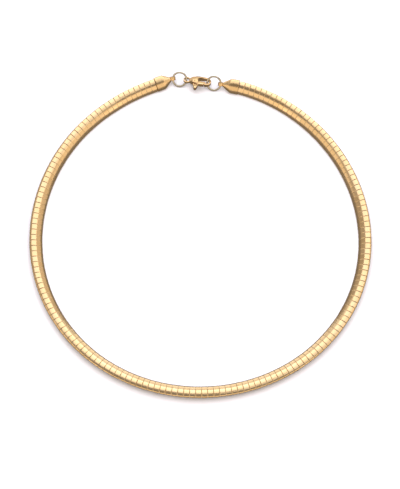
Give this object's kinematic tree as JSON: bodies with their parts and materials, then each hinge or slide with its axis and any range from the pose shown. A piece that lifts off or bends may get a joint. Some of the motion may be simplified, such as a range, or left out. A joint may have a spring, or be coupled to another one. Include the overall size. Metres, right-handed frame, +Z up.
{
  "type": "single-strand omega necklace",
  "caption": "Flat omega necklace of domed plates crimped round a core, with end caps, jump rings and a sprung lobster clasp.",
  "frame": {"origin": "on the surface that the necklace lies on, under the middle of its bounding box", "axes": "+Z up out of the surface, +Y towards the clasp at the back, +X to the right seen from the front"},
  "size_m": [0.1478, 0.1516, 0.0047],
  "materials": {
    "core": "woven flat wire, gold tone",
    "plates": "polished, gold tone",
    "caps": "polished, gold tone",
    "rings": "polished, gold tone",
    "clasp": "polished, gold tone"
  },
  "bodies": {
    "necklace": {"core": "core", "plates": "plates", "cap_left": "caps", "cap_right": "caps", "ring_left": "rings", "ring_right": "rings", "clasp_body": "clasp", "clasp_pin": "clasp"},
    "lever": {"clasp_lever": "clasp"}
  },
  "joints": [
    {"name": "lever_hinge", "type": "hinge", "parent": "necklace", "child": "lever", "pos_m": [-0.00256, 0.0712, 0.00259], "axis": [0.0313, 0.2399, 0.9703], "range_deg": [0, 20], "stiffness_Nm_per_rad": 0.01, "springref_deg": -17.19}
  ]
}
